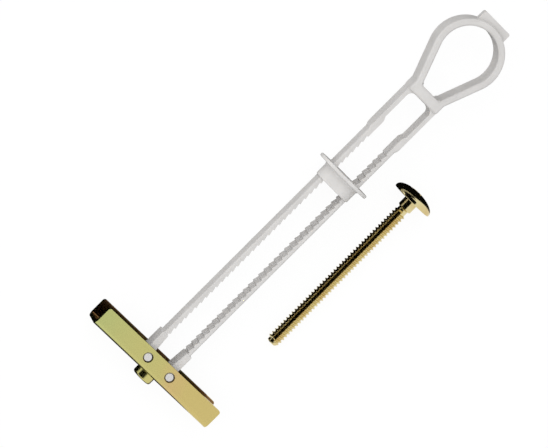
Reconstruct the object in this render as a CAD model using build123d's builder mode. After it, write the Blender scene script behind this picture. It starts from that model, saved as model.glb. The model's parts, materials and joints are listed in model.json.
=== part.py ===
from build123d import *
import os
from math import asin, atan2, cos, degrees, hypot, radians, sin

# A strap toggle anchor lying on a table, with its machine screw beside it.
# Millimetres. The straps run along +X from the folded channel to the pull ring.
# The origin is the mouth of the tapped hole, where the screw enters the channel.

# Folded steel channel
channel_length = 47.6
channel_width = 11.1
channel_depth = 6.8
sheet_thickness = 1.2
bend_inside_radius = 0.5
flange_corner_radius = 0.8
boss_diameter = 6.5
boss_height = 2.6
boss_rounding = 0.7
tapped_hole_diameter = 3.3

# Pivots that join the straps to the channel
pivot_spacing = 9.2
pivot_from_open_edge = 3.0
trunnion_diameter = 2.45
trunnion_hole_diameter = 3.1
trunnion_recess = 0.1
stub_gap = 0.3

# Feet at the ends of the straps
foot_length = 8.6
foot_width = 5.8
foot_thickness = 3.0
foot_neck_thickness = 2.1

# Toothed straps
strap_span = 11.1
strap_width = 5.3
strap_thickness = 1.15
strap_edge_radius = 0.7
rack_start = 9.2
tooth_count = 38
tooth_pitch = 2.18
tooth_height = 0.45
tooth_face_run = 0.15
tooth_land = 0.3
plain_land_end = 98.6
plain_land_ramp = 1.5

# Plain upper straps and the crossbar
shoulder_start = 94.2
shoulder_ramp = 0.8
upper_span = 11.8
upper_thickness = 1.3
crossbar_start = 110.8
crossbar_length = 3.5
window_corner_radius = 1.8

# Pull ring and its end tab
ring_centre = 130.0
ring_inside_radius = 9.1
ring_wall = 2.15
ring_width = 7.4
ring_throat = 7.3
ring_edge_radius = 0.8
tab_length = 1.9
tab_breadth = 10.8
tab_thickness = 2.4
tab_corner_radius = 0.6

# Ratchet collar
collar_position = 79.3
collar_diameter = 18.7
collar_flange_thickness = 1.05
collar_sleeve_diameter = 12.6
collar_sleeve_length = 4.5
collar_bore_diameter = 6.5
collar_edge_radius = 0.3
slot_clearance = 0.12
slot_inner_clearance = 0.35
pawl_clearance = 0.08
pawl_length = 1.6

# Machine screw
screw_length = 59.9
shank_diameter = 4.6
tip_chamfer = 0.6
head_diameter = 13.6
head_height = 3.35
head_rim_height = 0.6
head_rim_radius = 0.3
recess_span = 5.0
recess_breadth = 1.0
recess_depth = 1.9
recess_taper = 6
screw_head_position = 87.75
screw_spacing = 21.8
screw_yaw = 1.0

# Places along the straps, measured from the line of the pivots
open_edge = pivot_from_open_edge
web_back = open_edge - channel_depth
web_face = web_back + sheet_thickness
bend_outside_radius = bend_inside_radius + sheet_thickness
rack_end = rack_start + tooth_count * tooth_pitch
crossbar_end = crossbar_start + crossbar_length
tab_end = ring_centre + ring_inside_radius + ring_wall + tab_length
collar_wall_face = collar_position - collar_flange_thickness
sleeve_end = collar_wall_face - collar_sleeve_length

# Places across the straps, measured from their middle plane
pivot_offset = pivot_spacing / 2
foot_outer = pivot_offset + foot_thickness / 2
foot_inner = pivot_offset - foot_thickness / 2
strap_outer = strap_span / 2
tooth_root = strap_outer - strap_thickness
tooth_tip = tooth_root - tooth_height
upper_outer = upper_span / 2
upper_inner = upper_outer - upper_thickness
trunnion_reach = channel_width / 2 - trunnion_recess


def rest_tilt(low, low_radius, high, high_radius):
    """Degrees that turn a body until two rounded corners, each (along, down), touch one floor."""
    along = low[0] - high[0]
    drop = low[1] - high[1]
    rounding = asin((high_radius - low_radius) / hypot(along, drop))
    return degrees(atan2(drop, along) - rounding)


def lowest(corner, radius, tilt):
    """Depth of a rounded corner below the axis origin once the body is tilted."""
    return corner[1] * cos(radians(tilt)) - corner[0] * sin(radians(tilt)) + radius


# The anchor rests on the collar's rim and on the lower edge of the channel's bend
rim_corner = (collar_wall_face + collar_edge_radius, collar_diameter / 2 - collar_edge_radius)
bend_corner = (web_back + bend_outside_radius, channel_width / 2 - bend_outside_radius)
anchor_tilt = rest_tilt(rim_corner, collar_edge_radius, bend_corner, bend_outside_radius)
anchor_lift = web_face * sin(radians(anchor_tilt))
floor_level = -anchor_lift - lowest(rim_corner, collar_edge_radius, anchor_tilt)
anchor_place = Location(
    (-web_face * cos(radians(anchor_tilt)), 0, -anchor_lift), (0, -anchor_tilt, 0)
)

# The screw rests on the rim of its head and on its tip
head_corner = (head_rim_radius, head_diameter / 2 - head_rim_radius)
tip_corner = (tip_chamfer - screw_length, shank_diameter / 2)
screw_tilt = rest_tilt(head_corner, head_rim_radius, tip_corner, 0)
screw_level = floor_level + lowest(head_corner, head_rim_radius, screw_tilt)
screw_place = Location(
    ((screw_head_position - web_face) * cos(radians(anchor_tilt)), -screw_spacing, screw_level)
) * Location((0, 0, 0), (0, 0, screw_yaw)) * Location((0, 0, 0), (0, -screw_tilt, 0))

# Drawing planes: flat along the straps, in section along them, and square across them
flat = Plane(anchor_place * Plane.XY.location)
section = Plane(anchor_place * Plane.XZ.location)
square = Plane(anchor_place * Plane.YZ.location)
strap_axis = Axis(flat.origin, flat.x_dir)
height_axis = Axis(flat.origin, flat.z_dir)
screw_section = Plane(screw_place * Plane.XZ.location)
screw_square = Plane(screw_place * Plane.YZ.location)
screw_axis = Axis(screw_section.origin, screw_section.x_dir)

# Channel: one folded U with rounded flange corners, pivot holes and a tapped boss
with BuildPart() as channel:
    with BuildSketch(section):
        with Locations((web_back, 0)):
            outside = Rectangle(channel_depth, channel_width, align=(Align.MIN, Align.CENTER))
        fillet(outside.vertices().group_by(Axis.X)[0], bend_outside_radius)
    extrude(amount=channel_length / 2, both=True)
    with BuildSketch(section):
        with Locations((web_face, 0)):
            inside = Rectangle(
                channel_depth, channel_width - 2 * sheet_thickness, align=(Align.MIN, Align.CENTER)
            )
        fillet(inside.vertices().group_by(Axis.X)[0], bend_inside_radius)
    extrude(amount=channel_length / 2, both=True, mode=Mode.SUBTRACT)
    with BuildSketch(flat):
        with Locations((web_back, 0)):
            outline = Rectangle(channel_depth, channel_length, align=(Align.MIN, Align.CENTER))
        fillet(outline.vertices().group_by(Axis.X)[-1], flange_corner_radius)
    extrude(amount=channel_width / 2, both=True, mode=Mode.INTERSECT)
    with BuildSketch(flat):
        with Locations((0, pivot_offset), (0, -pivot_offset)):
            Circle(trunnion_hole_diameter / 2)
    extrude(amount=channel_width / 2, both=True, mode=Mode.SUBTRACT)
    with BuildSketch(square.offset(web_back - boss_height)):
        Circle(boss_diameter / 2)
    extrude(amount=boss_height + sheet_thickness / 2)
    fillet(channel.edges().filter_by(GeomType.CIRCLE).sort_by(strap_axis)[0], boss_rounding)
    with BuildSketch(square.offset(web_back - boss_height)):
        Circle(tapped_hole_diameter / 2)
    extrude(amount=boss_height + sheet_thickness, mode=Mode.SUBTRACT)

# Strap carrier: feet, toothed straps, crossbar, pull ring and tab in one moulding
with BuildPart() as strap_carrier:
    with BuildSketch(flat):
        with BuildLine():
            Line((foot_length, foot_outer), (0, foot_outer))
            ThreePointArc(
                (0, foot_outer), (-foot_thickness / 2, pivot_offset), (0, foot_inner)
            )
            Line((0, foot_inner), (foot_length, foot_outer - foot_neck_thickness))
            Line((foot_length, foot_outer - foot_neck_thickness), (foot_length, foot_outer))
        make_face()
    extrude(amount=foot_width / 2, both=True)
    with BuildSketch(square.offset(pivot_from_open_edge)):
        with Locations((tooth_root, 0)):
            strip = Rectangle(strap_thickness, strap_width, align=(Align.MIN, Align.CENTER))
        fillet(strip.vertices().group_by(Axis.X)[-1], strap_edge_radius)
    extrude(amount=plain_land_end - pivot_from_open_edge)
    with BuildSketch(flat):
        with BuildLine():
            teeth = [(foot_length, tooth_root)]
            for tooth in range(tooth_count):
                heel = rack_start + tooth * tooth_pitch
                teeth.append((heel, tooth_root))
                teeth.append((heel + tooth_face_run, tooth_tip))
                teeth.append((heel + tooth_face_run + tooth_land, tooth_tip))
            teeth.append((rack_end, tooth_root))
            teeth.append((rack_end, tooth_tip))
            teeth.append((plain_land_end, tooth_tip))
            teeth.append((plain_land_end + plain_land_ramp, upper_inner))
            teeth.append((plain_land_end + plain_land_ramp, strap_outer - strap_thickness / 2))
            teeth.append((foot_length, strap_outer - strap_thickness / 2))
            Polyline(teeth, close=True)
        make_face()
    extrude(amount=strap_width / 2, both=True)
    with BuildSketch(flat):
        with BuildLine():
            Polyline(
                (shoulder_start, upper_inner),
                (shoulder_start, strap_outer),
                (shoulder_start + shoulder_ramp, upper_outer),
                (crossbar_end, upper_outer),
                (crossbar_end, upper_inner),
                close=True,
            )
        make_face()
    extrude(amount=strap_width / 2, both=True)
    with BuildSketch(flat):
        with Locations((crossbar_start, upper_inner)):
            Rectangle(window_corner_radius, window_corner_radius, align=Align.MAX)
        with Locations((crossbar_start - window_corner_radius, upper_inner - window_corner_radius)):
            Circle(window_corner_radius, mode=Mode.SUBTRACT)
    extrude(amount=strap_width / 2, both=True)
    mirror(about=Plane.XZ)
    with BuildSketch(flat):
        with Locations((ring_centre, 0)):
            Circle(ring_inside_radius + ring_wall)
        with Locations((crossbar_end, 0)):
            Rectangle(ring_edge_radius, upper_span, align=(Align.MAX, Align.CENTER))
        make_hull()
        with Locations((crossbar_start, 0)):
            Rectangle(crossbar_length, upper_span, align=(Align.MIN, Align.CENTER))
    extrude(amount=ring_width / 2, both=True)
    with BuildSketch(flat):
        with Locations((tab_end, 0)):
            tab = Rectangle(tab_length + ring_wall, tab_breadth, align=(Align.MAX, Align.CENTER))
        fillet(tab.vertices().group_by(Axis.X)[-1], tab_corner_radius)
    extrude(amount=tab_thickness / 2, both=True)
    with BuildSketch(flat):
        with Locations((ring_centre, 0)):
            Circle(ring_inside_radius)
        with Locations((crossbar_end, 0)):
            Rectangle(ring_wall, ring_throat, align=(Align.MIN, Align.CENTER))
        make_hull()
    extrude(amount=ring_width / 2, both=True, mode=Mode.SUBTRACT)
    ring_faces = strap_carrier.faces().filter_by(GeomType.PLANE).group_by(height_axis)
    fillet(ring_faces[-1].edges(), ring_edge_radius)
    fillet(ring_faces[0].edges(), ring_edge_radius)
    with BuildSketch(flat):
        with Locations((0, pivot_offset)):
            Circle(trunnion_diameter / 2)
    extrude(amount=trunnion_reach, both=True)

# Pivot stubs: the trunnion of the opened pivot, carried by the channel's holes
with BuildPart() as pivot_stubs:
    for start, length in (
        (foot_width / 2 + stub_gap, trunnion_reach - foot_width / 2 - stub_gap),
        (-trunnion_reach, trunnion_reach - foot_width / 2 - stub_gap),
    ):
        with BuildSketch(flat.offset(start)):
            with Locations((0, -pivot_offset)):
                Circle(trunnion_diameter / 2)
        extrude(amount=length)

# Collar: round flange and sleeve, with a bolt bore and a slot and pawl for each strap
with BuildPart() as collar:
    with BuildSketch(square.offset(collar_wall_face)):
        Circle(collar_diameter / 2)
    extrude(amount=collar_flange_thickness)
    fillet(collar.edges().filter_by(GeomType.CIRCLE), collar_edge_radius)
    with BuildSketch(square.offset(sleeve_end)):
        Circle(collar_sleeve_diameter / 2)
    extrude(amount=collar_sleeve_length)
    fillet(collar.edges().filter_by(GeomType.CIRCLE).sort_by(strap_axis)[0], collar_edge_radius)
    slot_outer = strap_outer + slot_clearance
    slot_inner = tooth_tip - slot_inner_clearance
    slot_half_width = strap_width / 2 + slot_clearance
    with BuildSketch(square.offset(sleeve_end)):
        with Locations((slot_inner, 0)):
            slot = Rectangle(
                slot_outer - slot_inner, 2 * slot_half_width, align=(Align.MIN, Align.CENTER)
            )
        fillet(slot.vertices().group_by(Axis.X)[-1], strap_edge_radius)
        mirror(about=Plane.YZ)
        Circle(collar_bore_diameter / 2)
    extrude(amount=collar_sleeve_length + collar_flange_thickness, mode=Mode.SUBTRACT)
    with BuildSketch(flat):
        with BuildLine():
            pawl_root = slot_inner - slot_inner_clearance / 4
            pawl_tip = tooth_tip - pawl_clearance
            Polyline(
                (collar_position - pawl_length, pawl_root),
                (collar_position - tooth_face_run, pawl_tip),
                (collar_position, pawl_tip),
                (collar_position, pawl_root),
                close=True,
            )
        make_face()
        mirror(about=Plane.XZ)
    extrude(amount=slot_half_width, both=True)

# Machine screw: domed head with a cross recess, and a shank at the thread's outer diameter
with BuildPart() as machine_screw:
    with BuildSketch(screw_section):
        with BuildLine():
            Polyline(
                (head_height, 0),
                (-screw_length, 0),
                (-screw_length, shank_diameter / 2 - tip_chamfer),
                (tip_chamfer - screw_length, shank_diameter / 2),
                (0, shank_diameter / 2),
                (0, head_diameter / 2),
                (head_rim_height, head_diameter / 2),
            )
            EllipticalCenterArc(
                (head_rim_height, 0), head_height - head_rim_height, head_diameter / 2, arc_size=90
            )
        profile = make_face()
        fillet(profile.vertices().group_by(Axis.Y)[-1].sort_by(Axis.X)[0], head_rim_radius)
    revolve(axis=screw_axis)
    with BuildSketch(screw_square.offset(head_height)):
        Rectangle(recess_span, recess_breadth)
        Rectangle(recess_breadth, recess_span)
    extrude(amount=-recess_depth, taper=recess_taper, mode=Mode.SUBTRACT)

os.makedirs("parts", exist_ok=True)
channel.part.label = "channel"
strap_carrier.part.label = "strap_carrier"
pivot_stubs.part.label = "pivot_stubs"
collar.part.label = "collar"
machine_screw.part.label = "machine_screw"
export_step(channel.part, "parts/channel.step")
export_step(strap_carrier.part, "parts/strap_carrier.step")
export_step(pivot_stubs.part, "parts/pivot_stubs.step")
export_step(collar.part, "parts/collar.step")
export_step(machine_screw.part, "parts/machine_screw.step")
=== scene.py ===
import bpy
import bmesh
import json
from math import acos, atan2, cos, hypot, pi, radians, sin, tan
from mathutils import Matrix, Vector


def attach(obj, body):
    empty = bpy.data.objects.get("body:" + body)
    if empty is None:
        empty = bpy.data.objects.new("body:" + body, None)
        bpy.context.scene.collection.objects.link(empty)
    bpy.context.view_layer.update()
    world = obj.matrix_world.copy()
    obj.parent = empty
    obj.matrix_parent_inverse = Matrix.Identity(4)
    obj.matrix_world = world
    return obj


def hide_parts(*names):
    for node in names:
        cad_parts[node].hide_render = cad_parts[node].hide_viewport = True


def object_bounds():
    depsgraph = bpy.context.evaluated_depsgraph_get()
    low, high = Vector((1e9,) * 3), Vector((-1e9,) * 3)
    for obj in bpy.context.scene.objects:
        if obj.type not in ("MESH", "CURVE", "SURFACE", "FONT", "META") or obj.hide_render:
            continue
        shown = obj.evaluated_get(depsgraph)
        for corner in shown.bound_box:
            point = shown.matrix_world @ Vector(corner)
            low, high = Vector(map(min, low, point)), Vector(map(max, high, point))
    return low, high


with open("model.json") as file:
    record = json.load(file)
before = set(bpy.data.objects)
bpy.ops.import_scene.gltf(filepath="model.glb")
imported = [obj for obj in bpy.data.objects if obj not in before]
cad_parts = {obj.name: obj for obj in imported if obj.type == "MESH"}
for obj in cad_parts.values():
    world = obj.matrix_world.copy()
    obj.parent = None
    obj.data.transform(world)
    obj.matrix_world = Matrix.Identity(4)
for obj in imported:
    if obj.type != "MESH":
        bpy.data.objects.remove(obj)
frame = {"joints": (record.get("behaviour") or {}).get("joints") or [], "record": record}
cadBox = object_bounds()

# The toggle and the screw each get their own place, with millimetres inside it.
# Toggle: x runs along the straps to the ring, y along the channel, z up. Screw: x runs to the head.
slide = next(j for j in frame["joints"] if j["name"] == "collar_slide")
fold = next(j for j in frame["joints"] if j["name"] == "channel_fold")
shank = next(m for m in frame["record"]["mounts"] if m["name"] == "screw_shank")
pivotOffset = 4.6  # each pivot from the middle of the channel


def placeAlong(origin, along, up):
    along = along.normalized()
    across = up.cross(along).normalized()
    turn = Matrix((along, across, along.cross(across))).transposed().to_4x4()
    return Matrix.Translation(origin) @ turn @ Matrix.Scale(0.001, 4)


strapWay = Vector(slide["axis"])
togglePlace = placeAlong(Vector(fold["pos_m"]), strapWay, -Vector(fold["axis"]))
togglePlace = togglePlace @ Matrix.Translation((0, -pivotOffset, 0))
headWay = -Vector(shank["axis"])
headSeat = Vector(shank["pos_m"]) + headWay * shank["dims"]["length_mm"] / 2000
screwPlace = placeAlong(headSeat, headWay, Vector((0, 0, 1)))


# colours and nodes
def linearColour(hexText):
    parts = [int(hexText[i:i + 2], 16) / 255 for i in (1, 3, 5)]
    return [p / 12.92 if p <= 0.04045 else ((p + 0.055) / 1.055) ** 2.4 for p in parts] + [1]


def addNode(tree, kind, links={}, **settings):
    node = tree.nodes.new(kind)
    for name, value in settings.items():
        setattr(node, name, value)
    for socket, value in links.items():
        if isinstance(value, bpy.types.NodeSocket):
            tree.links.new(value, node.inputs[socket])
        else:
            node.inputs[socket].default_value = value
    return node


def startMaterial(name, **look):
    material = bpy.data.materials.new(name)
    material.use_nodes = True
    shader = material.node_tree.nodes["Principled BSDF"]
    for socket, value in look.items():
        shader.inputs[socket.replace("_", " ")].default_value = value
    return material, material.node_tree, shader


def fillRamp(node, stops):
    ramp = node.color_ramp
    while len(ramp.elements) < len(stops):
        ramp.elements.new(0.5)
    for element, (position, colour) in zip(ramp.elements, stops):
        element.position = position
        element.color = linearColour(colour)


def yellowZincSheet():
    # Rolled steel sheet, zinc plated and yellow passivated: a clear metal sheen under a
    # chromate film that drifts from green at one end to warm gold at the other
    look = {"greenEnd": "#c2c680", "middle": "#cbc27c", "pinkLine": "#d4ba7e", "goldEnd": "#d0bd79"}
    material, tree, shader = startMaterial("yellowZincSheet", Metallic=1.0)
    place = addNode(tree, "ShaderNodeTexCoord").outputs["Object"]
    parts = addNode(tree, "ShaderNodeSeparateXYZ", {0: place})
    cloud = addNode(tree, "ShaderNodeTexNoise", {"Vector": place, "Scale": 90.0, "Detail": 2.0})
    drift = addNode(tree, "ShaderNodeMapRange", {0: parts.outputs["Y"], 1: 0.026, 2: -0.026})
    wander = addNode(tree, "ShaderNodeMath", {0: cloud.outputs["Fac"], 1: 0.3, 2: -0.15},
                     operation="MULTIPLY_ADD")
    along = addNode(tree, "ShaderNodeMath", {0: drift.outputs[0], 1: wander.outputs[0]}, operation="ADD")
    film = addNode(tree, "ShaderNodeValToRGB", {0: along.outputs[0]})
    fillRamp(film, [(0.05, look["greenEnd"]), (0.52, look["middle"]), (0.63, look["pinkLine"]),
                    (0.74, look["goldEnd"]), (1.0, look["goldEnd"])])
    tree.links.new(film.outputs["Color"], shader.inputs["Base Color"])
    # rolling marks run along the channel, about 0.3 mm apart
    grainPlace = addNode(tree, "ShaderNodeMapping", {"Vector": place, "Scale": (1.0, 0.03, 1.0)})
    grain = addNode(tree, "ShaderNodeTexNoise", {"Vector": grainPlace.outputs[0], "Scale": 3300.0,
                                                "Detail": 2.0})
    rough = addNode(tree, "ShaderNodeMapRange", {0: grain.outputs["Fac"], 3: 0.22, 4: 0.28})
    tree.links.new(rough.outputs[0], shader.inputs["Roughness"])
    bump = addNode(tree, "ShaderNodeBump", {"Height": grain.outputs["Fac"], "Strength": 0.02,
                                            "Distance": 0.0001})
    tree.links.new(bump.outputs[0], shader.inputs["Normal"])
    return material


def paintedFoldShadeZinc():
    # The same plating inside the fold, with its colour darkened to a brown as painted shade for the hollow of
    # the fold, and violet and olive clouds in the film
    look = {"brown": "#80623a", "olive": "#706a3e", "violet": "#7d554b"}
    material, tree, shader = startMaterial("paintedFoldShadeZinc", Metallic=1.0)
    place = addNode(tree, "ShaderNodeTexCoord").outputs["Object"]
    cloud = addNode(tree, "ShaderNodeTexNoise", {"Vector": place, "Scale": 140.0, "Detail": 3.0})
    film = addNode(tree, "ShaderNodeValToRGB", {0: cloud.outputs["Fac"]})
    fillRamp(film, [(0.3, look["olive"]), (0.5, look["brown"]), (0.7, look["violet"])])
    tree.links.new(film.outputs["Color"], shader.inputs["Base Color"])
    rough = addNode(tree, "ShaderNodeMapRange", {0: cloud.outputs["Fac"], 3: 0.2, 4: 0.3})
    tree.links.new(rough.outputs[0], shader.inputs["Roughness"])
    return material


def yellowZincScrew():
    # Cold headed and rolled steel, zinc plated and yellow passivated: brighter and smoother
    # than the sheet, a pale straw mirror with faint warm clouds
    look = {"film": "#dccf9e", "filmWarm": "#d2bd86"}
    material, tree, shader = startMaterial("yellowZincScrew", Metallic=1.0)
    place = addNode(tree, "ShaderNodeTexCoord").outputs["Object"]
    cloud = addNode(tree, "ShaderNodeTexNoise", {"Vector": place, "Scale": 220.0, "Detail": 3.0})
    film = addNode(tree, "ShaderNodeValToRGB", {0: cloud.outputs["Fac"]})
    fillRamp(film, [(0.35, look["film"]), (0.65, look["filmWarm"])])
    tree.links.new(film.outputs["Color"], shader.inputs["Base Color"])
    rough = addNode(tree, "ShaderNodeMapRange", {0: cloud.outputs["Fac"], 3: 0.1, 4: 0.2})
    tree.links.new(rough.outputs[0], shader.inputs["Roughness"])
    return material


def naturalNylon(name, tone, shade):
    # Unpigmented polyamide, injection moulded: milky and slightly translucent, so light
    # bleeds into its thin edges, with a satin skin from the tool
    material, tree, shader = startMaterial(
        name, Roughness=0.33, IOR=1.53, Subsurface_Weight=0.25, Subsurface_Scale=0.0004,
        Subsurface_Radius=(1.0, 0.95, 0.88))
    place = addNode(tree, "ShaderNodeTexCoord").outputs["Object"]
    cloud = addNode(tree, "ShaderNodeTexNoise", {"Vector": place, "Scale": 160.0, "Detail": 3.0})
    milk = addNode(tree, "ShaderNodeValToRGB", {0: cloud.outputs["Fac"]})
    fillRamp(milk, [(0.3, shade), (0.7, tone)])
    tree.links.new(milk.outputs["Color"], shader.inputs["Base Color"])
    # the tool's fine spark texture, drawn at 0.35 mm so that it shows
    skin = addNode(tree, "ShaderNodeTexNoise", {"Vector": place, "Scale": 2900.0, "Detail": 2.0})
    bump = addNode(tree, "ShaderNodeBump", {"Height": skin.outputs["Fac"], "Strength": 0.05,
                                            "Distance": 0.00005})
    tree.links.new(bump.outputs[0], shader.inputs["Normal"])
    return material


sheetZinc = yellowZincSheet()
# the fold's inside gets a darker copy of the plating: painted shade
foldShadeZinc = paintedFoldShadeZinc()
screwZinc = yellowZincScrew()
strapNylon = naturalNylon("strapNylon", "#dcdad8", "#d3d1cf")
collarNylon = naturalNylon("collarNylon", "#e2e0de", "#dad8d6")
print("materials made")


# mesh helpers, in millimetres
mergeGap = 0.0005  # vertices closer than this are one
cutMargin = 1  # how far a cutter passes what it cuts


def finishPiece(bm, name, place, materials, body, nodes, sharpAngle=35):
    bmesh.ops.remove_doubles(bm, verts=bm.verts, dist=mergeGap)
    bmesh.ops.recalc_face_normals(bm, faces=bm.faces)
    bmesh.ops.transform(bm, matrix=place, verts=bm.verts)
    mesh = bpy.data.meshes.new(name)
    bm.to_mesh(mesh)
    bm.free()
    mesh.polygons.foreach_set("use_smooth", [True] * len(mesh.polygons))
    mesh.set_sharp_from_angle(angle=radians(sharpAngle))
    piece = bpy.data.objects.new(name, mesh)
    bpy.context.scene.collection.objects.link(piece)
    for material in materials:
        mesh.materials.append(material)
    shading = piece.modifiers.new("flatShading", "WEIGHTED_NORMAL")  # flat faces stay flat beside soft edges
    shading.keep_sharp = True
    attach(piece, body)
    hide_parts(*nodes)
    print("piece made:", name, len(mesh.polygons), "faces")
    return piece


def combine(bm, other, operation):
    # a boolean of two closed shapes: the result stays in bm, and other is used up
    pair = []
    for label, shape in (("base", bm), ("tool", other)):
        bmesh.ops.recalc_face_normals(shape, faces=shape.faces)
        mesh = bpy.data.meshes.new(label)
        shape.to_mesh(mesh)
        holder = bpy.data.objects.new(label, mesh)
        bpy.context.scene.collection.objects.link(holder)
        pair.append(holder)
    other.free()
    boolean = pair[0].modifiers.new("join", "BOOLEAN")
    boolean.operation, boolean.object, boolean.solver = operation, pair[1], "EXACT"
    result = bpy.data.meshes.new_from_object(pair[0].evaluated_get(bpy.context.evaluated_depsgraph_get()))
    bm.clear()
    bm.from_mesh(result)
    bpy.data.meshes.remove(result)
    for holder in pair:
        mesh = holder.data
        bpy.data.objects.remove(holder)
        bpy.data.meshes.remove(mesh)


def spinProfile(points, rounds=(), steps=64):
    # points are (along, radius) of a half section, and rounds are (which point, radius, segments)
    bm = bmesh.new()
    verts = [bm.verts.new((x, 0, r)) for x, r in points]
    for pair in zip(verts, verts[1:]):
        bm.edges.new(pair)
    for which, radius, segments in rounds:
        bmesh.ops.bevel(bm, geom=[verts[which]], offset=radius, offset_type="OFFSET", segments=segments,
                        profile=0.5, affect="VERTICES", material=-1)
    bmesh.ops.spin(bm, geom=bm.verts[:] + bm.edges[:], cent=(0, 0, 0), axis=(1, 0, 0), angle=2 * pi,
                   steps=steps, dvec=(0, 0, 0), use_merge=True)
    bmesh.ops.remove_doubles(bm, verts=bm.verts, dist=mergeGap)
    return bm


def rodAlong(way, start, end, radius, across=(0, 0), steps=40):
    # a round bar along x or z, used as a pin or to bore a hole
    bm = bmesh.new()
    bmesh.ops.create_cone(bm, cap_ends=True, segments=steps, radius1=radius, radius2=radius,
                          depth=end - start)
    middleHeight = (start + end) / 2
    if way == "x":
        turn = Matrix.Rotation(pi / 2, 4, "Y")
        spot = Matrix.Translation((middleHeight, across[0], across[1]))
    else:
        turn = Matrix.Identity(4)
        spot = Matrix.Translation((across[0], across[1], middleHeight))
    bmesh.ops.transform(bm, matrix=spot @ turn, verts=bm.verts)
    return bm


def blockBetween(low, high):
    bm = bmesh.new()
    bmesh.ops.create_cube(bm, size=1)
    bmesh.ops.scale(bm, verts=bm.verts, vec=[b - a for a, b in zip(low, high)])
    bmesh.ops.translate(bm, verts=bm.verts, vec=[(a + b) / 2 for a, b in zip(low, high)])
    return bm


def softenEdges(bm, radius, fromAngle=40, segments=2):
    bmesh.ops.dissolve_degenerate(bm, dist=0.001, edges=bm.edges)
    edges = [e for e in bm.edges if len(e.link_faces) == 2 and e.calc_face_angle() > radians(fromAngle)]
    bmesh.ops.bevel(bm, geom=edges, offset=radius, offset_type="OFFSET", segments=segments, profile=0.5,
                    affect="EDGES", material=-1, loop_slide=True)


def addShell(bm, shell):
    mesh = bpy.data.meshes.new("shell")
    shell.to_mesh(mesh)
    shell.free()
    bm.from_mesh(mesh)
    bpy.data.meshes.remove(mesh)


def windThread(start, turns, pitch, base, crest, steps=32):
    # one ridge section wound about x, running out to nothing over its first and last turn
    ridge = bmesh.new()
    half, flat = pitch / 2, pitch / 8
    section = [(start - half * 0.96, base), (start - flat / 2, crest),
               (start + flat / 2, crest), (start + half * 0.96, base)]
    face = ridge.faces.new([ridge.verts.new((x, 0, r)) for x, r in section])
    bmesh.ops.spin(ridge, geom=[face], cent=(0, 0, 0), axis=(1, 0, 0), angle=2 * pi * turns,
                   steps=steps * turns, dvec=(pitch / steps, 0, 0))
    end = start + turns * pitch
    for vert in ridge.verts:
        radius = hypot(vert.co.y, vert.co.z)
        share = max(0.0, min(1.0, (vert.co.x - start) / pitch + 0.5, (end - vert.co.x) / pitch + 0.5))
        scale = (base + (radius - base) * share) / radius
        vert.co.y *= scale
        vert.co.z *= scale
    return ridge


# machine screw
screwSizes = {
    "length": 59.9, "crestRadius": 2.2, "rootRadius": 1.62, "pitch": 1.19, "threadTurns": 46,
    "neckRadius": 2.3, "neckLength": 3.0, "neckSlope": 0.5, "tipChamfer": 0.6, "headRadius": 6.8,
    "headHeight": 3.35, "headRim": 0.6, "rimRound": 0.3, "recessSpan": 5.0,
    "recessBreadth": 1.0, "recessDepth": 1.9, "recessTaper": 6,
}


def makeScrew(size):
    bm = bmesh.new()
    points = [(-size["length"], 0), (-size["length"], size["rootRadius"] - size["tipChamfer"] / 2),
              (-size["length"] + size["tipChamfer"] / 2, size["rootRadius"]),
              (-size["neckLength"] - size["neckSlope"], size["rootRadius"]),
              (-size["neckLength"], size["neckRadius"]),
              (0, size["neckRadius"]), (0, size["headRadius"]), (size["headRim"], size["headRadius"])]
    verts = [bm.verts.new((x, 0, r)) for x, r in points]
    for pair in zip(verts, verts[1:]):
        bm.edges.new(pair)
    # the dome is a quarter circle pressed down to the head's height
    bmesh.ops.spin(bm, geom=[verts[-1]], cent=(size["headRim"], 0, 0), axis=(0, 1, 0), angle=pi / 2,
                   steps=18, dvec=(0, 0, 0))
    dome = [v for v in bm.verts if v.co.x > size["headRim"] + 0.001]
    bmesh.ops.scale(bm, verts=dome, vec=((size["headHeight"] - size["headRim"]) / size["headRadius"], 1, 1),
                    space=Matrix.Translation((-size["headRim"], 0, 0)))
    bmesh.ops.bevel(bm, geom=[verts[6]], offset=size["rimRound"], offset_type="OFFSET", segments=4,
                    profile=0.5, affect="VERTICES", material=-1)
    bmesh.ops.spin(bm, geom=bm.verts[:] + bm.edges[:], cent=(0, 0, 0), axis=(1, 0, 0), angle=2 * pi,
                   steps=72, dvec=(0, 0, 0), use_merge=True)
    bmesh.ops.remove_doubles(bm, verts=bm.verts, dist=mergeGap)
    # cross recess: two tapered slots
    for turn in (0, pi / 2):
        slot = blockBetween((size["headHeight"] - size["recessDepth"], -size["recessSpan"] / 2,
                             -size["recessBreadth"] / 2),
                            (size["headHeight"] + cutMargin, size["recessSpan"] / 2,
                             size["recessBreadth"] / 2))
        narrowing = size["recessDepth"] * tan(radians(size["recessTaper"]))
        bottom = [v for v in slot.verts if v.co.x < size["headHeight"]]
        bmesh.ops.scale(slot, verts=bottom, vec=(1, 1 - 2 * narrowing / size["recessSpan"],
                                                 1 - 2 * narrowing / size["recessBreadth"]))
        bmesh.ops.rotate(slot, verts=slot.verts, cent=(0, 0, 0), matrix=Matrix.Rotation(turn, 3, "X"))
        combine(bm, slot, "DIFFERENCE")
    thread = windThread(-size["length"] + size["pitch"] * 0.6, size["threadTurns"], size["pitch"],
                        size["rootRadius"] - 0.05, size["crestRadius"])
    addShell(bm, thread)
    return bm


finishPiece(makeScrew(screwSizes), "screwDressed", screwPlace, [screwZinc], "straps",
            ["machine_screw"])


# folded channel
channelSizes = {
    "length": 47.6, "width": 11.1, "openEdge": 3.0, "depth": 6.8, "sheet": 1.2, "bendRadius": 1.7,
    "cornerRound": 0.8, "edgeRound": 0.12, "holeRadius": 1.55, "bossRadius": 3.25, "bossHeight": 2.6,
    "bossRound": 0.7, "boreRadius": 2.05, "threadMinor": 1.65, "threadPitch": 1.19, "threadTurns": 2,
}


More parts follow.
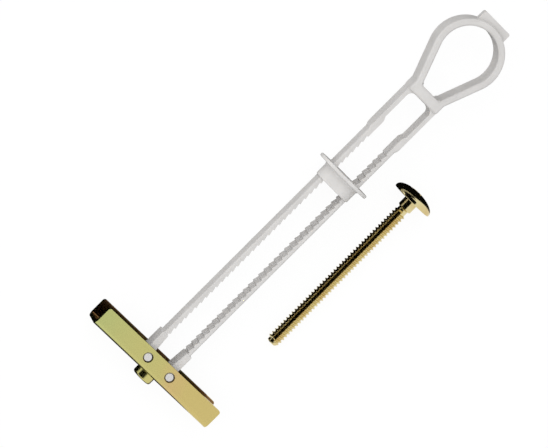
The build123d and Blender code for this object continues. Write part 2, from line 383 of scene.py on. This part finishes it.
def makeChannel(size):
    back, half = size["openEdge"] - size["depth"], size["width"] / 2
    # the sheet's outer skin is drawn as a U, pulled along the channel, bent and given its thickness
    bm = bmesh.new()
    path = [bm.verts.new((x, -size["length"] / 2, z)) for x, z in
            ((size["openEdge"], half), (back, half), (back, -half), (size["openEdge"], -half))]
    edges = [bm.edges.new(pair) for pair in zip(path, path[1:])]
    pulled = bmesh.ops.extrude_edge_only(bm, edges=edges)["geom"]
    bmesh.ops.translate(bm, verts=[g for g in pulled if isinstance(g, bmesh.types.BMVert)],
                        vec=(0, size["length"], 0))
    bends = [e for e in bm.edges if len(e.link_faces) == 2]
    bmesh.ops.bevel(bm, geom=bends, offset=size["bendRadius"], offset_type="OFFSET", segments=10,
                    profile=0.5, affect="EDGES", material=-1)
    corners = [v for v in bm.verts if v.co.x > size["openEdge"] - 0.001]
    bmesh.ops.bevel(bm, geom=corners, offset=size["cornerRound"], offset_type="OFFSET", segments=6,
                    profile=0.5, affect="VERTICES", material=-1)
    bmesh.ops.recalc_face_normals(bm, faces=bm.faces)
    outward = sum((f.normal.x * f.calc_area() for f in bm.faces), 0.0)
    if outward > 0:  # the web's outer side has to look along -x
        bmesh.ops.reverse_faces(bm, faces=bm.faces)
    bmesh.ops.solidify(bm, geom=bm.faces[:], thickness=size["sheet"])
    boss = spinProfile([(back + size["sheet"] / 2, 0), (back + size["sheet"] / 2, size["bossRadius"]),
                        (back - size["bossHeight"], size["bossRadius"]), (back - size["bossHeight"], 0)],
                       [(2, size["bossRound"], 5)])
    combine(bm, boss, "UNION")
    bore = rodAlong("x", back - size["bossHeight"] - cutMargin, back + size["sheet"] + cutMargin,
                    size["boreRadius"])
    combine(bm, bore, "DIFFERENCE")
    for side in (1, -1):
        hole = rodAlong("z", -half - cutMargin, half + cutMargin, size["holeRadius"], (0, side * pivotOffset))
        combine(bm, hole, "DIFFERENCE")
    softenEdges(bm, size["edgeRound"], fromAngle=50)
    inner = half - size["sheet"] + 0.05
    for face in bm.faces:  # the inside of the fold carries the darker film, which is painted shade
        middle = face.calc_center_median()
        if abs(middle.z) < inner and middle.x > back + size["sheet"] - 0.05:
            face.material_index = 1
    thread = windThread(back - size["bossHeight"] + size["threadPitch"] * 0.7, size["threadTurns"],
                        size["threadPitch"], size["boreRadius"] + 0.05, size["threadMinor"])
    addShell(bm, thread)
    return bm


finishPiece(makeChannel(channelSizes), "channelDressed", togglePlace, [sheetZinc, foldShadeZinc], "channel",
            ["channel"])


# ratchet collar
collarSizes = {
    "wallFace": 78.25, "flange": 1.05, "radius": 9.35, "sleeveLength": 4.5, "sleeveRadius": 6.3,
    "edgeRound": 0.3, "rootFillet": 0.9, "bore": 3.25, "slotInner": 3.6, "slotOuter": 5.67,
    "slotHalfWidth": 2.77, "slotCorner": 0.7, "pawlTip": 3.87, "pawlRoot": 3.5, "pawlNose": 0.15,
    "pawlLength": 1.6, "softening": 0.1,
}


def makeCollar(size):
    front, end = size["wallFace"] + size["flange"], size["wallFace"] - size["sleeveLength"]
    bm = spinProfile([(end, 0), (end, size["sleeveRadius"]), (size["wallFace"], size["sleeveRadius"]),
                      (size["wallFace"], size["radius"]), (front, size["radius"]), (front, 0)],
                     [(1, size["edgeRound"], 3), (2, size["rootFillet"], 5), (3, size["edgeRound"], 3),
                      (4, size["edgeRound"], 3)], steps=96)
    combine(bm, rodAlong("x", end - cutMargin, front + cutMargin, size["bore"]), "DIFFERENCE")
    for side in (1, -1):
        low, high = sorted((side * size["slotInner"], side * size["slotOuter"]))
        slot = blockBetween((end - cutMargin, low, -size["slotHalfWidth"]),
                            (front + cutMargin, high, size["slotHalfWidth"]))
        outer = [e for e in slot.edges if all(abs(v.co.y) > size["slotOuter"] - 0.01 for v in e.verts)
                 and abs(e.verts[0].co.z - e.verts[1].co.z) < 0.01]
        bmesh.ops.bevel(slot, geom=outer, offset=size["slotCorner"], offset_type="OFFSET", segments=4,
                        profile=0.5, affect="EDGES", material=-1)
        combine(bm, slot, "DIFFERENCE")
    softenEdges(bm, size["softening"], fromAngle=50)
    for side in (1, -1):  # a tongue in each slot that clicks over the teeth
        tongue = bmesh.new()
        outline = [(front - size["pawlLength"], size["pawlRoot"]),
                   (front - size["pawlNose"], size["pawlTip"]),
                   (front, size["pawlTip"]), (front, size["pawlRoot"])]
        face = tongue.faces.new([tongue.verts.new((x, side * y, -size["slotHalfWidth"])) for x, y in outline])
        raised = bmesh.ops.extrude_face_region(tongue, geom=[face])["geom"]
        bmesh.ops.translate(tongue, verts=[g for g in raised if isinstance(g, bmesh.types.BMVert)],
                            vec=(0, 0, 2 * size["slotHalfWidth"]))
        addShell(bm, tongue)
    return bm


finishPiece(makeCollar(collarSizes), "collarDressed", togglePlace, [collarNylon], "collar",
            ["collar"])


# straps, feet, crossbar, pull ring and tab: one moulding
strapSizes = {
    "outer": 5.55, "thickness": 1.15, "width": 5.3, "edgeRound": 0.7, "start": 3.0,
    "rackStart": 9.2, "toothCount": 38, "pitch": 2.18, "toothHeight": 0.45, "faceRun": 0.15, "land": 0.3,
    "plainEnd": 98.6, "plainRamp": 1.5, "shoulderStart": 94.2, "shoulderRamp": 0.8,
    "upperOuter": 5.9, "upperThickness": 1.3, "crossbarStart": 110.8, "crossbarEnd": 114.3,
    "windowCorner": 1.8, "windowSill": 0.4, "intoCrossbar": 1.0, "softening": 0.06,
}
footSizes = {
    "length": 8.6, "width": 5.8, "thickness": 3.0, "neck": 2.1, "softening": 0.25,
    "pinRadius": 1.225, "pinReach": 5.45, "pinRound": 0.15, "stubStart": 3.2,
}
ringSizes = {
    "centre": 130.0, "insideRadius": 9.1, "wall": 2.15, "width": 7.4, "throat": 3.65, "edgeRound": 0.8,
    "tabEnd": 143.15, "tabStart": 139.1, "tabHalfBreadth": 5.4, "tabThickness": 2.4, "tabCorner": 0.6,
    "tabSoftening": 0.15, "arcSteps": 44,
}


def pullUp(bm, face, height):
    raised = bmesh.ops.extrude_face_region(bm, geom=[face])["geom"]
    bmesh.ops.translate(bm, verts=[g for g in raised if isinstance(g, bmesh.types.BMVert)],
                        vec=(0, 0, height))
    bmesh.ops.recalc_face_normals(bm, faces=bm.faces)


def makeStrap(size, side):
    root = size["outer"] - size["thickness"]
    tip = root - size["toothHeight"]
    upperInner = size["upperOuter"] - size["upperThickness"]
    inner = [(size["start"], root)]
    for tooth in range(size["toothCount"]):
        heel = size["rackStart"] + tooth * size["pitch"]
        inner += [(heel, root), (heel + size["faceRun"], tip), (heel + size["faceRun"] + size["land"], tip)]
    rackEnd = size["rackStart"] + size["toothCount"] * size["pitch"]
    inner += [(rackEnd, root), (rackEnd + size["faceRun"], tip), (size["plainEnd"], tip),
              (size["plainEnd"] + size["plainRamp"], upperInner)]
    window = (size["crossbarStart"], upperInner)
    below = upperInner - size["windowCorner"] - size["windowSill"]
    buried = size["crossbarStart"] + size["intoCrossbar"]
    outer = [(size["crossbarStart"], below), (buried, below), (buried, size["upperOuter"]),
             (size["shoulderStart"] + size["shoulderRamp"], size["upperOuter"]),
             (size["shoulderStart"], size["outer"]), (size["start"], size["outer"])]
    bm = bmesh.new()
    verts = [bm.verts.new((x, side * y, -size["width"] / 2)) for x, y in inner + [window] + outer]
    bm.faces.new(verts)
    bmesh.ops.bevel(bm, geom=[verts[len(inner)]], offset=size["windowCorner"], offset_type="OFFSET",
                    segments=8, profile=0.5, affect="VERTICES", material=-1)
    bm.faces.ensure_lookup_table()
    pullUp(bm, bm.faces[0], size["width"])
    # the shoulder's edge is rounded too, or the round would twist out to a sharp corner before it
    outside = [e for e in bm.edges if abs(min(abs(v.co.y) for v in e.verts) - size["outer"]) < 0.001
               and abs(e.verts[0].co.x - e.verts[1].co.x) > size["shoulderRamp"] / 2]
    bmesh.ops.bevel(bm, geom=outside, offset=size["edgeRound"], offset_type="OFFSET", segments=5,
                    profile=0.5, affect="EDGES", material=-1)
    softenEdges(bm, size["softening"], fromAngle=40)
    return bm


def makeFoot(size, side):
    outer, inner = pivotOffset + size["thickness"] / 2, pivotOffset - size["thickness"] / 2
    bm = bmesh.new()
    verts = [bm.verts.new((x, side * y, -size["width"] / 2)) for x, y in
             ((-size["thickness"] / 2, outer), (-size["thickness"] / 2, inner),
              (size["length"], outer - size["neck"]), (size["length"], outer))]
    bm.faces.new(verts)
    bmesh.ops.bevel(bm, geom=verts[:2], offset=size["thickness"] / 2 - 0.02, offset_type="OFFSET", segments=8,
                    profile=0.5, affect="VERTICES", material=-1)
    bm.faces.ensure_lookup_table()
    pullUp(bm, bm.faces[0], size["width"])
    softenEdges(bm, size["softening"], fromAngle=40, segments=3)
    return bm


def makePin(size, low, high, side):
    bm = rodAlong("z", low, high, size["pinRadius"], (0, side * pivotOffset))
    softenEdges(bm, size["pinRound"], fromAngle=60)
    return bm


def makeTeardrop(size, throatStart, throatHalf, radius, reach, height):
    # a circle drawn together to a narrower throat by its two tangents
    spread = atan2(throatHalf, throatStart - size["centre"])
    spread -= acos(radius / hypot(throatStart - size["centre"], throatHalf))
    bm = bmesh.new()
    first = bm.verts.new((size["centre"] + radius * cos(spread), radius * sin(spread), -height / 2))
    swept = bmesh.ops.spin(bm, geom=[first], cent=(size["centre"], 0, 0), axis=(0, 0, 1), angle=-2 * spread,
                           steps=size["arcSteps"], dvec=(0, 0, 0))
    last = next(g for g in swept["geom_last"] if isinstance(g, bmesh.types.BMVert))
    path = [bm.verts.new((x, y, -height / 2)) for x, y in
            ((throatStart, -throatHalf), (throatStart - reach, -throatHalf),
             (throatStart - reach, throatHalf), (throatStart, throatHalf))]
    for pair in zip([last] + path, path + [first]):
        bm.edges.new(pair)
    face = bmesh.ops.edgeloop_fill(bm, edges=bm.edges[:])["faces"][0]
    pullUp(bm, face, height)
    return bm


def makeRing(size):
    crossbar = strapSizes["crossbarEnd"] - strapSizes["crossbarStart"]
    bm = makeTeardrop(size, strapSizes["crossbarEnd"], strapSizes["upperOuter"],
                      size["insideRadius"] + size["wall"], crossbar, size["width"])
    hole = makeTeardrop(size, strapSizes["crossbarEnd"] + 0.01, size["throat"], size["insideRadius"], 0.01,
                        size["width"] + 2)
    combine(bm, hole, "DIFFERENCE")
    rims = [e for e in bm.edges if all(abs(abs(v.co.z) - size["width"] / 2) < 0.001 for v in e.verts)
            and e.calc_face_angle(0) > 1]
    bmesh.ops.bevel(bm, geom=rims, offset=size["edgeRound"], offset_type="OFFSET", segments=5,
                    profile=0.5, affect="EDGES", material=-1)
    tab = blockBetween((size["tabStart"], -size["tabHalfBreadth"], -size["tabThickness"] / 2),
                       (size["tabEnd"], size["tabHalfBreadth"], size["tabThickness"] / 2))
    corners = [e for e in tab.edges if all(v.co.x > size["tabEnd"] - 0.01 for v in e.verts)
               and abs(e.verts[0].co.z - e.verts[1].co.z) > 1]
    bmesh.ops.bevel(tab, geom=corners, offset=size["tabCorner"], offset_type="OFFSET", segments=4,
                    profile=0.5, affect="EDGES", material=-1)
    softenEdges(tab, size["tabSoftening"], fromAngle=60)
    combine(bm, tab, "UNION")
    return bm


def makeCarrier():
    bm = makeRing(ringSizes)
    for side in (1, -1):
        combine(bm, makeStrap(strapSizes, side), "UNION")
        combine(bm, makeFoot(footSizes, side), "UNION")
    combine(bm, makePin(footSizes, -footSizes["pinReach"], footSizes["pinReach"], 1), "UNION")
    return bm


def makeStubs():
    bm = makePin(footSizes, footSizes["stubStart"], footSizes["pinReach"], -1)
    addShell(bm, makePin(footSizes, -footSizes["pinReach"], -footSizes["stubStart"], -1))
    return bm


finishPiece(makeCarrier(), "strapsDressed", togglePlace, [strapNylon], "straps",
            ["strap_carrier"])
finishPiece(makeStubs(), "stubsDressed", togglePlace, [strapNylon], "channel",
            ["pivot_stubs"])


# floor, light and camera
studio = {"floorSpan": 6.0, "floorDrop": 0.00002, "worldDiffuse": 0.62, "floorShare": 0.92,
          "floorGlow": 1.014}
keyLight = {"azimuth": 80, "elevation": 62, "distance": 0.9, "width": 1.26, "height": 0.84, "power": 4.8}
flagCloth = "#0c0c0c"
airFlags = {  # azimuth, elevation, distance, width and height
    "overheadFlag": (90, 60, 0.7, 1.6, 1.1),
    "sideFlag": (40, 14, 0.45, 0.8, 0.3),
}
floorFlags = {  # centre x and y, width and height
    "toggleFlag": (0.05, 0.13075, 0.5, 0.3025),
    "headFlag": (0.24, -0.0285, 0.29, 0.021),
}


def addLook(tree, strengthSeen, strengthElse):
    # one strength for what the camera, the metal and glass see, another for what lights the object
    rays = addNode(tree, "ShaderNodeLightPath").outputs
    seen = addNode(tree, "ShaderNodeMath", {0: rays["Is Camera Ray"], 1: rays["Is Glossy Ray"]},
                   operation="MAXIMUM")
    seen = addNode(tree, "ShaderNodeMath", {0: seen.outputs[0], 1: rays["Is Transmission Ray"]},
                   operation="MAXIMUM")
    return addNode(tree, "ShaderNodeMapRange", {0: seen.outputs[0], 3: strengthElse, 4: strengthSeen})


def paleFloor():
    # Matt white paper sweep: pure white to the eye and in the metal, with a faint soft shadow
    material = bpy.data.materials.new("paleFloor")
    material.use_nodes = True
    tree = material.node_tree
    tree.nodes.clear()
    paper = addNode(tree, "ShaderNodeBsdfDiffuse", {"Color": linearColour("#fafafa")})
    glow = addNode(tree, "ShaderNodeEmission", {"Color": (1, 1, 1, 1), "Strength": studio["floorGlow"]})
    share = addLook(tree, studio["floorShare"], 0.0)
    mixed = addNode(tree, "ShaderNodeMixShader", {0: share.outputs[0], 1: paper.outputs[0],
                                                  2: glow.outputs[0]})
    addNode(tree, "ShaderNodeOutputMaterial", {"Surface": mixed.outputs[0]})
    return material


def makeFloor():
    bm = bmesh.new()
    bmesh.ops.create_grid(bm, x_segments=1, y_segments=1, size=studio["floorSpan"] / 2)
    bmesh.ops.translate(bm, verts=bm.verts, vec=(0, 0, cadBox[0].z - studio["floorDrop"]))
    mesh = bpy.data.meshes.new("floor")
    bm.to_mesh(mesh)
    bm.free()
    mesh.materials.append(paleFloor())
    floor = bpy.data.objects.new("floor", mesh)
    bpy.context.scene.collection.objects.link(floor)


def makeWorld():
    world = bpy.data.worlds.new("studioAir")
    bpy.context.scene.world = world
    world.use_nodes = True
    tree = world.node_tree
    tree.nodes.clear()
    strength = addLook(tree, 1.0, studio["worldDiffuse"])
    air = addNode(tree, "ShaderNodeBackground", {"Color": (1, 1, 1, 1), "Strength": strength.outputs[0]})
    addNode(tree, "ShaderNodeOutputWorld", {"Surface": air.outputs[0]})


makeFloor()
makeWorld()
middle = Vector((0.056, 0.003, 0))  # what the lamp and the raised flags face


def wayTo(azimuth, elevation):
    # azimuth turns from +X towards +Y
    a, e = radians(azimuth), radians(elevation)
    return Vector((cos(a) * cos(e), sin(a) * cos(e), sin(e)))


def addLamp(name, azimuth, elevation, distance, width, height, power):
    way = wayTo(azimuth, elevation)
    data = bpy.data.lights.new(name, "AREA")
    data.shape, data.size, data.size_y, data.energy = "RECTANGLE", width, height, power
    lamp = bpy.data.objects.new(name, data)
    lamp.location = middle + way * distance
    lamp.rotation_euler = way.to_track_quat("Z", "Y").to_euler()
    lamp.visible_camera = False
    lamp.visible_glossy = False  # reflections show the even white surround, not the lamp
    bpy.context.scene.collection.objects.link(lamp)


def addFlag(name, spot, facing, width, height, cloth):
    bm = bmesh.new()
    bmesh.ops.create_grid(bm, x_segments=1, y_segments=1, size=0.5)
    bmesh.ops.scale(bm, verts=bm.verts, vec=(width, height, 1))
    turn = facing.to_track_quat("Z", "Y").to_matrix().to_4x4()
    bmesh.ops.transform(bm, verts=bm.verts, matrix=Matrix.Translation(spot) @ turn)
    mesh = bpy.data.meshes.new(name)
    bm.to_mesh(mesh)
    bm.free()
    material, tree, shader = startMaterial(name + "Cloth", Roughness=1.0, Base_Color=linearColour(cloth))
    shader.inputs["Specular IOR Level"].default_value = 0.0
    mesh.materials.append(material)
    flag = bpy.data.objects.new(name, mesh)
    flag.visible_camera = False  # only reflections see the flags
    flag.visible_diffuse = False
    flag.visible_shadow = False
    bpy.context.scene.collection.objects.link(flag)


addLamp("keySoftbox", **keyLight)
# black cloth overhead and on the +Y side, as the dark patches on the photographed metal ask for
for name, (azimuth, elevation, distance, width, height) in airFlags.items():
    way = wayTo(azimuth, elevation)
    addFlag(name, middle + way * distance, way, width, height, flagCloth)
for name, (x, y, width, height) in floorFlags.items():
    addFlag(name, Vector((x, y, cadBox[0].z)), Vector((0, 0, 1)), width, height, flagCloth)
print("floor, light and flags placed")

# The photograph is taken from a little over a metre, almost straight down from the +Y side
photoView = {"aim": (0.05664, 0.00361, -0.000311), "turn": (-12.79246, -12.84492, -44.2791),
             "distance": 1.2, "viewWidth": 0.16302}
camera = bpy.data.objects.new("camera", bpy.data.cameras.new("camera"))
camera.rotation_euler = [radians(angle) for angle in photoView["turn"]]
back = camera.rotation_euler.to_matrix() @ Vector((0, 0, 1))
camera.location = Vector(photoView["aim"]) + back * photoView["distance"]
camera.data.sensor_width = 36
camera.data.lens = 36 * photoView["distance"] / photoView["viewWidth"]
camera.data.clip_end = 50
bpy.context.scene.collection.objects.link(camera)
bpy.context.scene.camera = camera
bpy.context.scene.view_settings.view_transform = "Standard"

print("scene ready")
